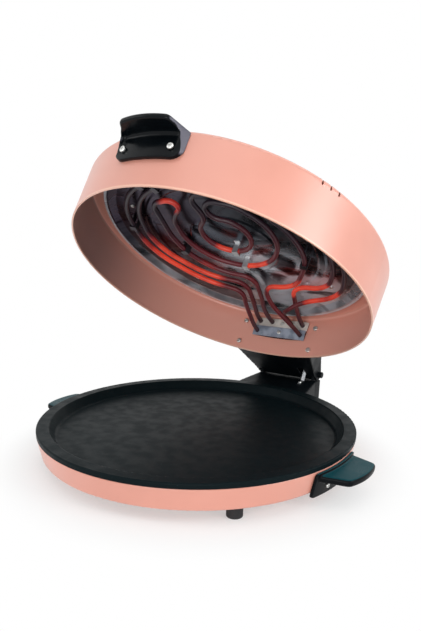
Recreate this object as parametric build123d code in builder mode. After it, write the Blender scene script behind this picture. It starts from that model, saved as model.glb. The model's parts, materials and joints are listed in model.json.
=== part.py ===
from build123d import *
from math import atan2, ceil, cos, degrees, radians, sin, tan
import os

os.makedirs("parts", exist_ok=True)

# An electric flatbread maker: a round steel base with a dark baking pan, and a steel lid
# with heating elements, hinged at the back. Millimetres and degrees.
# +X is to the right, -Y is the front with the lid handle, +Y is the hinge side, +Z is up.
# The pieces are drawn about the pan's axis and written about the middle of the whole
# object's footprint, with the table at height zero.

# Driving dimensions of the base
foot_height = 16.0
foot_radius = 9.4
foot_inset = 23.0
foot_angle = 42.0
base_radius = 210.0
base_taper = 5.4
base_wall_height = 28.5
base_sheet = 1.0
base_flange_width = 34.6
base_rim_width = 8.0
plate_sheet = 0.8
plate_inset = 12.6

# Driving dimensions of the pan
pan_rise = 6.4
pan_depth = 13.0
pan_slope_width = 7.5
pan_lip_width = 16.5
pan_wall = 2.5
pan_skirt_wall = 2.2

# Driving dimensions of the lid, in its closed place
lid_gap = 3.0
lid_inset = 7.0
lid_flare = 1.6
lid_height = 68.5
lid_crown = 4.0
lid_sheet = 0.9
lid_hem = 1.1
lid_hem_height = 4.0
lid_edge_radius = 6.0

# Driving dimensions of the hinge
hinge_stand_off = 66.0
hinge_rise = 7.2
hinge_open_angle = 36.0
pin_radius = 3.0
pin_fit = 0.02
pin_running_gap = 0.06
barrel_radius = 9.5
hinge_half_width = 54.0
lug_inner = 44.5
lug_outer = 50.5
lug_radius = 8.5
lug_gap = 0.6
bracket_wall = 2.5
bracket_overhang = 8.5
gland_flange = 2.5
seat_gap = 0.3
screw_fit = 0.06
base_seat_lift = 1.0
lid_seat_lift = 1.3
handle_seat_lift = 0.7
lid_handle_seat_lift = 0.2

# Driving dimensions of the heating elements
tube_radius = 3.3
tube_hole_gap = 0.3
strap_width = 8.0
strap_sheet = 1.0
strap_foot = 4.0
strap_gap = 0.5
lower_strap_gap = 0.6
lower_outer_ring = 145.0
lower_inner_ring = 95.0

foot_ring_radius = base_radius - foot_inset
base_low_radius = base_radius - base_taper
base_flange_radius = base_low_radius - base_flange_width
plate_radius = base_low_radius - plate_inset
pan_mouth_radius = base_radius - pan_lip_width
pan_floor_radius = pan_mouth_radius - pan_slope_width
lid_rim_radius = base_radius - lid_inset
lid_top_radius = lid_rim_radius + lid_flare
base_floor_z = foot_height
base_top_z = base_floor_z + base_wall_height
pan_top_z = base_top_z + pan_rise
pan_floor_z = pan_top_z - pan_depth
pan_under_z = pan_floor_z - pan_wall
plate_low_z = base_floor_z + base_sheet
plate_top_z = plate_low_z + plate_sheet
lid_rim_z = pan_top_z + lid_gap
hinge_y = base_radius + hinge_stand_off
hinge_z = lid_rim_z + hinge_rise
bracket_back_y = hinge_y + bracket_overhang
middle_y = (bracket_back_y + gland_flange - base_radius) / 2


def sheet_profile(points, thickness, bends, side=Side.LEFT):
    """The section of a bent sheet in the XZ plane, from the points on its outer face."""
    with BuildSketch(Plane.XZ) as section:
        with BuildLine():
            FilletPolyline(*points, radius=bends)
            offset(amount=thickness, side=side)
        make_face()
    return section.sketch


def cone_solid(low_radius, high_radius, low, high):
    """A solid cone frustum about the pan's axis."""
    with BuildPart() as cone:
        with BuildSketch(Plane.XZ):
            with BuildLine():
                Polyline((0, low), (low_radius, low), (high_radius, high), (0, high), close=True)
            make_face()
        revolve(axis=Axis.Z)
    return cone.part


def wall_radius(height, low_radius, high_radius, low, high):
    """The radius of a straight tapered wall at a height."""
    return low_radius + (high_radius - low_radius) * (height - low) / (high - low)


def base_wall_radius(height):
    """The radius of the base's outer wall at a height."""
    return wall_radius(height, base_low_radius, base_radius, base_floor_z, base_top_z)


def lid_wall_radius(height):
    """The radius of the closed lid's outer wall at a height."""
    return wall_radius(height, lid_rim_radius, lid_top_radius, lid_rim_z, lid_rim_z + lid_height)


def arc_points(centre, radius, start, stop, height):
    """Corners of the tangent lines round an arc, whose bends give the arc back."""
    steps = max(2, ceil(abs(stop - start) / 40))
    step = (stop - start) / steps
    reach = radius / cos(radians(step / 2))
    corners = []
    for index in range(steps):
        angle = radians(start + step * (index + 0.5))
        corners.append(Vector(centre[0] + reach * cos(angle), centre[1] + reach * sin(angle), height))
    return corners


def bend_radii(points):
    """The largest bend that each corner's two runs allow."""
    radii = []
    for before, corner, after in zip(points, points[1:], points[2:]):
        turn = radians((corner - before).get_angle(after - corner))
        shorter = min((corner - before).length, (after - corner).length)
        radii.append(0.48 * shorter / tan(turn / 2))
    return radii


def bent_tube(name, points, radius):
    """A round tube along straight runs and the widest bends between them."""
    points = [Vector(*point) for point in points]
    radii = bend_radii(points)
    with BuildPart() as tube:
        with BuildLine() as route:
            FilletPolyline(*points, radius=radii)
        with BuildSketch(Plane(origin=route.line @ 0, z_dir=route.line % 0)):
            Circle(radius)
        sweep(path=route.line)
    length = sum(edge.length for edge in route.edges())
    print(name, "length", round(length), "tightest bend", round(min(radii), 1))
    return tube.part


def pan_head_screw(seat, head_radius, shank_radius, shank_length):
    """A cross-head screw whose head stands on the seat plane's outer side."""
    head_height = head_radius * 0.6
    with BuildPart() as screw:
        with BuildSketch(seat):
            Circle(head_radius)
        extrude(amount=head_height)
        fillet(screw.edges().filter_by(GeomType.CIRCLE).sort_by_distance(seat.origin)[-1:], head_height * 0.6)
        with BuildSketch(seat.offset(head_height)):
            Rectangle(head_radius * 1.1, head_radius * 0.25)
            Rectangle(head_radius * 0.25, head_radius * 1.1)
        extrude(amount=-head_height * 0.45, mode=Mode.SUBTRACT)
        with BuildSketch(seat):
            Circle(shank_radius)
        extrude(amount=-shank_length)
    return screw.part


def radial_plane(radius, angle, height, outward=True):
    """A plane at a point round the pan's axis, facing away from the axis or towards it."""
    away = Vector(cos(radians(angle)), sin(radians(angle)), 0)
    origin = away * radius + Vector(0, 0, height)
    return Plane(origin=origin, x_dir=(0, 0, 1), z_dir=away if outward else -away)


def drilled(part, planes, radius, depth):
    """The part with a round hole of this depth each way through each plane."""
    with BuildPart() as result:
        add(part)
        for plane in planes:
            with BuildSketch(plane):
                Circle(radius)
            extrude(amount=depth, both=True, mode=Mode.SUBTRACT)
    return result.part


def grouped(parts):
    """Several separate solids as one piece."""
    with BuildPart() as group:
        for part in parts:
            add(part)
    return group.part


def finish_piece(part, name, open_lid=False):
    """Labels a piece, opens it with the lid if it rides there, and writes its file."""
    if open_lid:
        part = part.rotate(Axis((0, hinge_y, hinge_z), (1, 0, 0)), -hinge_open_angle)
    part = part.translate((0, -middle_y, 0))
    part.label = name
    export_step(part, f"parts/{name}.step")


# The base shell: a pressed steel tub with a flange under it and a rim folded inwards
screw_shank = 1.9
screw_hole = 2.15
screw_head = 3.8
sheet_bend = 4.5
rim_bend = 1.6
foot_angles = [foot_angle, 180 - foot_angle, 180 + foot_angle, 360 - foot_angle]
side_handle_turn = 4.0
side_handle_angles = [-side_handle_turn, 180 + side_handle_turn]
side_screw_spread = 6.0
side_screw_z = base_floor_z + 6.0
side_screw_planes = []
for handle_angle in side_handle_angles:
    for side in (-1, 1):
        angle = handle_angle + side * side_screw_spread
        side_screw_planes.append(radial_plane(base_wall_radius(side_screw_z), angle, side_screw_z))
base_bracket_screw_x = 48.0
base_bracket_screw_heights = [base_floor_z + 8.0, base_floor_z + 21.0]
lead_z = base_floor_z + 12.0
lead_hole_radius = 6.0
plate_screw_inset = 12.0
plate_screw_radius = plate_radius - plate_screw_inset
plate_screw_angles = [0, 90, 180, 270]


def straight_back_plane(x, height, radius):
    """A plane on a round wall's back, facing the front, at a sideways place."""
    y = (radius**2 - x**2) ** 0.5
    return Plane(origin=(x, y, height), x_dir=(1, 0, 0), z_dir=(0, -1, 0))


base_bracket_screw_planes = []
for height in base_bracket_screw_heights:
    for x in (-base_bracket_screw_x, base_bracket_screw_x):
        radius = base_wall_radius(height) - base_sheet
        base_bracket_screw_planes.append(straight_back_plane(x, height, radius))

hole_reach = 4.0
with BuildPart() as base_shell:
    base_outline = [
        (base_flange_radius, base_floor_z),
        (base_low_radius, base_floor_z),
        (base_radius, base_top_z),
        (base_radius - base_rim_width, base_top_z),
    ]
    add(sheet_profile(base_outline, base_sheet, [sheet_bend, rim_bend]))
    revolve(axis=Axis.Z)
    for angle in foot_angles:
        with BuildSketch(Plane.XY.offset(base_floor_z)):
            with Locations(Location((0, 0, 0), (0, 0, angle))):
                with Locations((foot_ring_radius, 0)):
                    Circle(screw_hole)
        extrude(amount=base_sheet, mode=Mode.SUBTRACT)
    for angle in plate_screw_angles:
        with BuildSketch(Plane.XY.offset(base_floor_z)):
            with PolarLocations(plate_screw_radius, 1, start_angle=angle):
                Circle(screw_hole)
        extrude(amount=base_sheet, mode=Mode.SUBTRACT)
    for plane in side_screw_planes + base_bracket_screw_planes:
        with BuildSketch(plane):
            Circle(screw_hole)
        extrude(amount=hole_reach, both=True, mode=Mode.SUBTRACT)
    with BuildSketch(Plane(origin=(0, base_radius, lead_z), x_dir=(1, 0, 0), z_dir=(0, -1, 0))):
        Circle(lead_hole_radius)
    extrude(amount=hole_reach * 2, mode=Mode.SUBTRACT)
finish_piece(base_shell.part, "base_shell")

# The bottom plate: lies on the shell's flange, with slots that let the heat out
plate_slot_radius = 125.0
plate_slot_length = 36.0
plate_slot_width = 5.0
plate_slot_count = 12
pan_stud_ring = 60.0
pan_stud_radius = 3.0
pan_stud_angles = [90, 210, 330]
with BuildPart() as base_bottom_plate:
    with BuildSketch(Plane.XY.offset(plate_low_z)):
        Circle(plate_radius)
        for angle in foot_angles:
            with PolarLocations(foot_ring_radius, 1, start_angle=angle):
                Circle(screw_hole, mode=Mode.SUBTRACT)
        for angle in plate_screw_angles:
            with PolarLocations(plate_screw_radius, 1, start_angle=angle):
                Circle(screw_hole, mode=Mode.SUBTRACT)
        for angle in pan_stud_angles:
            with PolarLocations(pan_stud_ring, 1, start_angle=angle):
                Circle(pan_stud_radius + screw_fit, mode=Mode.SUBTRACT)
        with PolarLocations(plate_slot_radius, plate_slot_count):
            SlotOverall(plate_slot_length, plate_slot_width, mode=Mode.SUBTRACT)
    extrude(amount=plate_sheet)
finish_piece(base_bottom_plate.part, "base_bottom_plate")

# The screws that hold the plate down, their heads on the plate and their points below it
plate_screw_reach = 6.0
small_head = screw_head * 0.8
plate_screws = []
for angle in plate_screw_angles:
    spot = Vector(cos(radians(angle)), sin(radians(angle)), 0) * plate_screw_radius
    seat = Plane(origin=spot + Vector(0, 0, plate_top_z), z_dir=(0, 0, 1))
    plate_screws.append(pan_head_screw(seat, small_head, screw_shank, plate_screw_reach))
bottom_plate_screws = grouped(plate_screws)
finish_piece(bottom_plate_screws, "bottom_plate_screws")

# The four feet, each a short cylinder with a rounded sole and a screw up its middle
foot_sole_round = 1.5
foot_bore_depth = 9.0
foot_screw_reach = 9.0
with BuildPart() as feet:
    for angle in foot_angles:
        spot = Vector(cos(radians(angle)), sin(radians(angle)), 0) * foot_ring_radius
        with BuildSketch(Plane(origin=spot)):
            Circle(foot_radius)
        extrude(amount=foot_height)
        with BuildSketch(Plane(origin=spot + Vector(0, 0, foot_height - foot_bore_depth))):
            Circle(screw_shank + screw_fit)
        extrude(amount=foot_bore_depth, mode=Mode.SUBTRACT)
    fillet(feet.edges().filter_by(GeomType.CIRCLE).group_by(Axis.Z)[0], foot_sole_round)
finish_piece(feet.part, "feet")

foot_screw_parts = []
for angle in foot_angles:
    spot = Vector(cos(radians(angle)), sin(radians(angle)), 0) * foot_ring_radius
    seat = Plane(origin=spot + Vector(0, 0, plate_top_z), z_dir=(0, 0, 1))
    foot_screw_parts.append(pan_head_screw(seat, small_head, screw_shank, foot_screw_reach))
foot_screws = grouped(foot_screw_parts)
finish_piece(foot_screws, "foot_screws")

# The baking pan: a coated dish whose rolled lip stands on the shell's rim
pan_floor_bend = 5.0
pan_lip_bend = 1.8
with BuildPart() as baking_pan:
    with BuildSketch(Plane.XZ):
        with BuildLine():
            Polyline(
                (0, pan_floor_z),
                (pan_floor_radius, pan_floor_z),
                (pan_mouth_radius, pan_top_z),
                (base_radius, pan_top_z),
                (base_radius, base_top_z),
                (base_radius - pan_skirt_wall, base_top_z),
                (base_radius - pan_skirt_wall, pan_top_z - pan_wall),
                (pan_mouth_radius + pan_wall, pan_top_z - pan_wall),
                (pan_floor_radius + pan_wall, pan_under_z),
                (0, pan_under_z),
                close=True,
            )
        make_face()
    revolve(axis=Axis.Z)
    pan_circles = baking_pan.edges().filter_by(GeomType.CIRCLE)
    fillet(pan_circles.filter_by(lambda edge: abs(edge.center().Z - pan_floor_z) < 0.1), pan_floor_bend)
    pan_circles = baking_pan.edges().filter_by(GeomType.CIRCLE)
    fillet(pan_circles.filter_by(lambda edge: abs(edge.center().Z - pan_top_z) < 0.1), pan_lip_bend)
finish_piece(baking_pan.part, "baking_pan")

# Three studs under the pan hold it, the reflector and the bottom plate together
pan_stud_reach = 4.0
nut_height = 4.0
nut_radius = 6.0
with BuildPart() as pan_studs:
    with BuildSketch(Plane.XY.offset(pan_under_z)):
        for angle in pan_stud_angles:
            with PolarLocations(pan_stud_ring, 1, start_angle=angle):
                Circle(pan_stud_radius)
    extrude(amount=-(pan_under_z - plate_low_z + pan_stud_reach))
finish_piece(pan_studs.part, "pan_studs")

with BuildPart() as pan_nuts:
    with BuildSketch(Plane.XY.offset(plate_low_z)):
        for angle in pan_stud_angles:
            with PolarLocations(pan_stud_ring, 1, start_angle=angle):
                RegularPolygon(nut_radius, 6)
                Circle(pan_stud_radius + screw_fit, mode=Mode.SUBTRACT)
    extrude(amount=-nut_height)
finish_piece(pan_nuts.part, "pan_nuts")

# The lower reflector: a bright dish under the lower element
reflector_sheet = 0.6
lower_dish_inset = 5.0
lower_dish_slope = 15.0
lower_dish_rim_width = 5.0
lower_dish_rim_radius = pan_floor_radius - lower_dish_inset
lower_dish_floor_radius = lower_dish_rim_radius - lower_dish_slope
lower_dish_gap = 0.3
lower_dish_top_z = pan_under_z - lower_dish_gap - reflector_sheet
lower_end_x = 20.0
lower_tube_z = pan_under_z - lower_strap_gap - strap_sheet - strap_gap - tube_radius
with BuildPart() as lower_reflector:
    dish_outline = [
        (0, plate_top_z),
        (lower_dish_floor_radius, plate_top_z),
        (lower_dish_rim_radius, lower_dish_top_z),
        (lower_dish_rim_radius + lower_dish_rim_width, lower_dish_top_z),
    ]
    add(sheet_profile(dish_outline, reflector_sheet, [3.0, 1.0]))
    revolve(axis=Axis.Z)
    with BuildSketch(Plane.XY.offset(plate_top_z)):
        for angle in pan_stud_angles:
            with PolarLocations(pan_stud_ring, 1, start_angle=angle):
                Circle(pan_stud_radius + screw_fit)
    extrude(amount=5, mode=Mode.SUBTRACT)
    with BuildSketch(Plane.XZ.offset(-lower_dish_floor_radius)):
        with Locations((-lower_end_x, lower_tube_z), (lower_end_x, lower_tube_z)):
            Circle(tube_radius + 1.0)
    extrude(amount=-40, mode=Mode.SUBTRACT)
finish_piece(lower_reflector.part, "lower_reflector")

# The lower element: two rings joined by hairpins at the front, its ends at the back
lower_end_inset = 12.6
lower_end_y = base_low_radius - lower_end_inset
lower_mid_ring = (lower_outer_ring + lower_inner_ring) / 2
hairpin = (lower_outer_ring - lower_inner_ring) / 2
hairpin_angle = 278.0
hairpin_left = (-lower_mid_ring * cos(radians(hairpin_angle)), lower_mid_ring * sin(radians(hairpin_angle)))
hairpin_right = (lower_mid_ring * cos(radians(hairpin_angle)), lower_mid_ring * sin(radians(hairpin_angle)))
lower_route = [(-lower_end_x, lower_end_y, lower_tube_z)]
lower_route += [(-lower_end_x, lower_outer_ring - 4, lower_tube_z)]
lower_route += arc_points((0, 0), lower_outer_ring, 108, 540 - hairpin_angle, lower_tube_z)
lower_route += arc_points(hairpin_left, hairpin, 262, 442, lower_tube_z)[0:4]
lower_route += arc_points((0, 0), lower_inner_ring, 540 - hairpin_angle, hairpin_angle - 360, lower_tube_z)
lower_route += arc_points(hairpin_right, hairpin, 98, 278, lower_tube_z)
lower_route += arc_points((0, 0), lower_outer_ring, hairpin_angle, 432, lower_tube_z)
lower_route += [(lower_end_x, lower_outer_ring - 4, lower_tube_z)]
lower_route += [(lower_end_x, lower_end_y, lower_tube_z)]
lower_element = bent_tube("lower_element", lower_route, tube_radius)
finish_piece(lower_element, "lower_element")


def strap_clip(x, y, tube_z, hang_z, angle):
    """A bent strap round a tube, with two feet on the sheet that it is fixed to."""
    inner = tube_radius + strap_gap
    outer = inner + strap_sheet
    side = 1 if hang_z > tube_z else -1
    cradle = tube_z - side * (tube_radius + strap_gap)
    place = Plane(origin=(x, y, 0), x_dir=(cos(radians(angle)), sin(radians(angle)), 0), z_dir=(0, 0, 1))
    section = Plane(origin=place.origin, x_dir=place.x_dir, z_dir=-place.y_dir)
    with BuildPart() as strap:
        with BuildSketch(section):
            with BuildLine():
                Polyline(
                    (-outer - strap_foot, hang_z),
                    (-inner, hang_z),
                    (-inner, cradle),
                    (inner, cradle),
                    (inner, hang_z),
                    (outer + strap_foot, hang_z),
                    (outer + strap_foot, hang_z - side * strap_sheet),
                    (outer, hang_z - side * strap_sheet),
                    (outer, cradle - side * strap_sheet),
                    (-outer, cradle - side * strap_sheet),
                    (-outer, hang_z - side * strap_sheet),
                    (-outer - strap_foot, hang_z - side * strap_sheet),
                    close=True,
                )
            make_face()
        extrude(amount=strap_width / 2, both=True)
    return strap.part


# Clips that hold the lower element on its reflector
lower_floor_z = plate_top_z + reflector_sheet
lower_clips = []
for ring, angles in ((lower_outer_ring, (30, 150, 215, 325)), (lower_inner_ring, (0, 120, 240))):
    for angle in angles:
        x = ring * cos(radians(angle))
        y = ring * sin(radians(angle))
        lower_clips.append(strap_clip(x, y, lower_tube_z, lower_floor_z, angle))
lower_element_clips = grouped(lower_clips)
finish_piece(lower_element_clips, "lower_element_clips")

# The thermostat: a round can on the reflector that touches the pan's underside
thermostat_radius = 8.0
thermostat_flange = 11.0
thermostat_ring = 120.0
thermostat_angle = 45.0
with BuildPart() as thermostat:
    with BuildSketch(Plane.XY.offset(lower_floor_z)):
        with PolarLocations(thermostat_ring, 1, start_angle=thermostat_angle):
            Circle(thermostat_flange)
    extrude(amount=2)
    with BuildSketch(Plane.XY.offset(lower_floor_z)):
        with PolarLocations(thermostat_ring, 1, start_angle=thermostat_angle):
            Circle(thermostat_radius)
    extrude(amount=pan_under_z - lower_floor_z)
finish_piece(thermostat.part, "thermostat")

# The terminal block on the bottom plate, between the reflector and the back wall
block_length = 26.0
block_depth = 9.0
block_height = 13.0
block_inset = 15.6
block_y = base_low_radius - block_inset
with BuildPart() as terminal_block:
    with BuildSketch(Plane.XY.offset(plate_top_z)):
        with Locations((0, block_y)):
            Rectangle(block_length, block_depth)
    extrude(amount=block_height)
    chamfer(terminal_block.edges().group_by(Axis.Z)[-1], 1.0)
    with BuildSketch(Plane.XY.offset(plate_top_z + block_height)):
        with Locations((0, block_y)):
            with GridLocations(8.0, 1, 3, 1):
                Circle(2.2)
    extrude(amount=-6, mode=Mode.SUBTRACT)
finish_piece(terminal_block.part, "terminal_block")

def grip_outline(half_wall, half_tip, wall_y, tip_y, bow, corner):
    """The plan of a handle's shelf, facing the front: wide at the wall, bowed at the tip."""
    with BuildSketch() as plan:
        with BuildLine():
            Line((-half_wall, wall_y), (-half_tip, tip_y))
            ThreePointArc((-half_tip, tip_y), (0, tip_y - bow), (half_tip, tip_y))
            Line((half_tip, tip_y), (half_wall, wall_y))
            Line((half_wall, wall_y), (-half_wall, wall_y))
        make_face()
        fillet(plan.vertices().sort_by(Axis.Y)[0:2], corner)
    return plan.sketch


# How far out from the axis a wall piece is drawn, in shares of the wall's radius, and how deep
handle_start, cut_start, handle_inside = 0.8, 0.9, 0.95
cut_span = 0.4


def handle(wall_cone, outer_cone, width, low, high, corner, shelf, radius, plan):
    """A moulded handle: a plate that follows the wall and a shelf to lift by."""
    shelf_low, shelf_high = shelf
    with BuildPart() as moulding:
        with BuildSketch(Plane.XZ.offset(radius * handle_start)):
            with Locations((0, (low + high) / 2)):
                RectangleRounded(width, high - low, corner)
        extrude(amount=radius * cut_span)
        add(outer_cone, mode=Mode.INTERSECT)
        with BuildSketch(Plane.XY.offset(shelf_low)):
            add(plan)
        extrude(amount=shelf_high - shelf_low)
        add(wall_cone, mode=Mode.SUBTRACT)
    return moulding.part


# The two side handles of the base, turned a little towards the front
side_plate_wall = 4.0
side_handle_width = 92.0
side_handle_low = base_floor_z - 5.0
side_handle_high = base_top_z - 1.6
side_shelf = (base_floor_z + 15.5, base_floor_z + 24.0)
side_reach = 37.0
wall_cut = cone_solid(base_wall_radius(0) + seat_gap, base_wall_radius(100) + seat_gap, 0, 100)
plate_cut = cone_solid(base_wall_radius(0) + side_plate_wall, base_wall_radius(100) + side_plate_wall, 0, 100)
shelf_root_half, shelf_tip_half = 44.0, 33.0
shelf_bow = 6.0
shelf_corner = 9.0
shelf_plan = grip_outline(
    shelf_root_half,
    shelf_tip_half,
    -base_radius * handle_inside,
    -base_radius - side_reach + shelf_bow,
    shelf_bow,
    shelf_corner,
)
side_corner = 5.0
shape = handle(
    wall_cut,
    plate_cut,
    side_handle_width,
    side_handle_low,
    side_handle_high,
    side_corner,
    side_shelf,
    base_radius,
    shelf_plan,
)
tip_bend = 3.0
side_tip_y = -base_radius - side_reach * 0.55
with BuildPart() as side_handle:
    add(shape)
    for height in side_shelf:
        tip_edges = side_handle.edges().filter_by(lambda edge: edge.center().Y < side_tip_y)
        fillet(tip_edges.filter_by(lambda edge: abs(edge.center().Z - height) < 0.01), tip_bend)
side_names = ["right_side_handle", "left_side_handle"]
for name, handle_angle in zip(side_names, side_handle_angles):
    turned_handle = side_handle.part.rotate(Axis.Z, 90 + handle_angle)
    turned_handle = drilled(turned_handle, side_screw_planes, screw_shank + screw_fit, 8.0)
    finish_piece(turned_handle, name)
side_screws = []
for plane in side_screw_planes:
    seat = plane.offset(side_plate_wall + handle_seat_lift)
    side_screws.append(pan_head_screw(seat, screw_head * 0.75, screw_shank, side_plate_wall + 5))
side_handle_screws = grouped(side_screws)
finish_piece(side_handle_screws, "side_handle_screws")


def trapezoid_block(front_half, back_half, front_y, taper_y, back_y, side_points):
    """A block with a tapered plan and a given outline from the side."""
    with BuildPart() as block:
        with BuildSketch(Plane.XY):
            with BuildLine():
                Polyline(
                    (-front_half, front_y),
                    (front_half, front_y),
                    (back_half, taper_y),
                    (back_half, back_y),
                    (-back_half, back_y),
                    (-back_half, taper_y),
                    close=True,
                )
            make_face()
        extrude(amount=400)
        with BuildSketch(Plane.YZ) as side:
            with BuildLine():
                Polyline(*side_points, close=True)
            make_face()
        extrude(amount=200, both=True, mode=Mode.INTERSECT)
    return block.part


def across_cylinder(radius, low_x, high_x):
    """A cylinder along the hinge axis between two sideways places."""
    with BuildPart() as cylinder:
        with BuildSketch(Plane(origin=(low_x, hinge_y, hinge_z), x_dir=(0, 1, 0), z_dir=(1, 0, 0))):
            Circle(radius)
        extrude(amount=high_x - low_x)
    return cylinder.part


# The base's hinge bracket: a black moulding, open below, with two lugs for the pin
base_bracket_front_half = 66.0
base_bracket_low_z = base_floor_z + 2.5
base_bracket_shelf_z = hinge_z - barrel_radius - 0.9
base_bracket_slope_z = base_top_z + 1.2
base_taper_y = hinge_y - 12.0
bracket_front_y = base_radius - 20.0
base_side = [
    (bracket_front_y, base_bracket_low_z),
    (bracket_back_y, base_bracket_low_z),
    (bracket_back_y, base_bracket_shelf_z),
    (base_taper_y, base_bracket_shelf_z),
    (base_low_radius, base_bracket_slope_z),
    (bracket_front_y, base_bracket_slope_z),
]
base_side_inner = [
    (base_radius + 6, 0),
    (bracket_back_y - bracket_wall, 0),
    (bracket_back_y - bracket_wall, base_bracket_shelf_z - bracket_wall),
    (base_taper_y, base_bracket_shelf_z - bracket_wall),
    (base_radius + 6, base_bracket_slope_z - bracket_wall),
]
boss_radius = 5.0
base_boss_reach = 14.0
gland_bore = 3.8
gland_radius = 6.5
gland_flange_radius = 9.0
gland_depth = 9.0
gland_fit = 0.1
gland_plane = Plane(origin=(0, bracket_back_y, lead_z), x_dir=(1, 0, 0), z_dir=(0, 1, 0))


def shelf_height(y):
    """The height of the bracket's sloping top at a place behind the wall."""
    share = (y - base_low_radius) / (base_taper_y - base_low_radius)
    return base_bracket_slope_z + (base_bracket_shelf_z - base_bracket_slope_z) * share


# Where the leaf spring beside the barrel is screwed to the bracket's sloping top
leaf_low_x = 31.0
leaf_width = 5.5
leaf_sheet = 1.2
leaf_foot_reach = 30.0
leaf_foot_y = hinge_y - leaf_foot_reach
leaf_screw_radius = 1.15
leaf_screw_length = 5.0
leaf_screw_y = leaf_foot_y + 4.5
leaf_slope = degrees(atan2(shelf_height(leaf_screw_y + 1) - shelf_height(leaf_screw_y), 1))
leaf_up = Vector(0, -sin(radians(leaf_slope)), cos(radians(leaf_slope)))
leaf_seat_point = Vector(leaf_low_x + leaf_width / 2, leaf_screw_y, shelf_height(leaf_screw_y))
leaf_seat_point += leaf_up * leaf_sheet
leaf_seat = Plane(origin=leaf_seat_point, x_dir=(1, 0, 0), z_dir=leaf_up)
with BuildPart() as base_hinge_bracket:
    add(
        trapezoid_block(
            base_bracket_front_half,
            hinge_half_width,
            bracket_front_y,
            base_taper_y,
            bracket_back_y,
            base_side,
        )
    )
    add(
        trapezoid_block(
            base_bracket_front_half - bracket_wall,
            hinge_half_width - bracket_wall,
            bracket_front_y,
            base_taper_y,
            bracket_back_y,
            base_side_inner,
        ),
        mode=Mode.SUBTRACT,
    )
    for plane in base_bracket_screw_planes:
        with BuildSketch(plane):
            Circle(boss_radius)
        extrude(amount=-base_boss_reach)
    for side in (-1, 1):
        middle = side * (lug_inner + lug_outer) / 2
        with BuildSketch(Plane(origin=(middle, 0, 0), x_dir=(0, 1, 0), z_dir=(1, 0, 0))):
            with BuildLine():
                Polyline(
                    (hinge_y - lug_radius, hinge_z),
                    (hinge_y - lug_radius, base_bracket_low_z),
                    (hinge_y + lug_radius, base_bracket_low_z),
                    (hinge_y + lug_radius, hinge_z),
                )
                ThreePointArc(
                    (hinge_y + lug_radius, hinge_z),
                    (hinge_y, hinge_z + lug_radius),
                    (hinge_y - lug_radius, hinge_z),
                )
            make_face()
        extrude(amount=(lug_outer - lug_inner) / 2, both=True)
    add(wall_cut, mode=Mode.SUBTRACT)
    add(across_cylinder(pin_radius + pin_fit, -lug_outer - 1, lug_outer + 1), mode=Mode.SUBTRACT)
    for plane in base_bracket_screw_planes:
        with BuildSketch(plane):
            Circle(screw_shank + screw_fit)
        extrude(amount=-base_boss_reach + 2, mode=Mode.SUBTRACT)
    with BuildSketch(gland_plane):
        Circle(gland_radius + gland_fit)
    extrude(amount=-gland_depth, mode=Mode.SUBTRACT)
    with BuildSketch(gland_plane.offset(base_radius + 7 - bracket_back_y)):
        Circle(lead_hole_radius)
    extrude(amount=-hole_reach * 4, mode=Mode.SUBTRACT)
    with BuildSketch(leaf_seat):
        Circle(leaf_screw_radius + screw_fit)
    extrude(amount=-leaf_screw_length - 1, mode=Mode.SUBTRACT)
finish_piece(base_hinge_bracket.part, "base_hinge_bracket")

base_bracket_screws = []
for plane in base_bracket_screw_planes:
    seat = plane.offset(base_seat_lift)
    base_bracket_screws.append(pan_head_screw(seat, small_head, screw_shank, base_boss_reach - 2))
base_hinge_screws = grouped(base_bracket_screws)
finish_piece(base_hinge_screws, "base_hinge_screws")

# The gland: a flanged bush in the bracket's back, open where a mains lead passes through
with BuildPart() as cable_gland:
    with BuildSketch(gland_plane):
        Circle(gland_flange_radius)
    extrude(amount=gland_flange)
    fillet(cable_gland.edges().filter_by(GeomType.CIRCLE).group_by(Axis.Y)[-1], 1.0)
    with BuildSketch(gland_plane):
        Circle(gland_radius)
    extrude(amount=-gland_depth)
    with BuildSketch(gland_plane.offset(gland_flange)):
        Circle(gland_bore)
    extrude(amount=-gland_flange - gland_depth, mode=Mode.SUBTRACT)
finish_piece(cable_gland.part, "cable_gland")

# Two insulated wires from near the gland to the terminal block
wire_radius = 1.4
wire_side = 2.1
wire_end_gap = 0.2
wire_stop_y = bracket_back_y - gland_depth - 3
wire_start_y = block_y + block_depth / 2 + wire_end_gap
with BuildPart() as base_wires:
    with BuildSketch(Plane.XZ.offset(-wire_start_y)):
        with Locations((-wire_side, lead_z), (wire_side, lead_z)):
            Circle(wire_radius)
    extrude(amount=-(wire_stop_y - wire_start_y))
finish_piece(base_wires.part, "base_wires")

# The hinge pin and the two caps pushed over its ends
pin_overhang = 5.0
cap_gap = 0.4
cap_radius = 5.0
cap_width = 4.0
pin_end = hinge_half_width + pin_overhang
hinge_pin = across_cylinder(pin_radius, -pin_end, pin_end)
finish_piece(hinge_pin, "hinge_pin")
with BuildPart() as hinge_pin_caps:
    for side in (-1, 1):
        inner_x = side * (hinge_half_width + cap_gap)
        with BuildSketch(Plane(origin=(inner_x, hinge_y, hinge_z), x_dir=(0, 1, 0), z_dir=(side, 0, 0))):
            Circle(cap_radius)
        extrude(amount=cap_width + 2)
        with BuildSketch(Plane(origin=(inner_x, hinge_y, hinge_z), x_dir=(0, 1, 0), z_dir=(side, 0, 0))):
            Circle(pin_radius + pin_fit)
        extrude(amount=pin_end - hinge_half_width - cap_gap, mode=Mode.SUBTRACT)
    fillet(hinge_pin_caps.edges().filter_by(GeomType.CIRCLE).group_by(Axis.X)[0], 1.2)
    fillet(hinge_pin_caps.edges().filter_by(GeomType.CIRCLE).group_by(Axis.X)[-1], 1.2)
finish_piece(hinge_pin_caps.part, "hinge_pin_caps")

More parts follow.
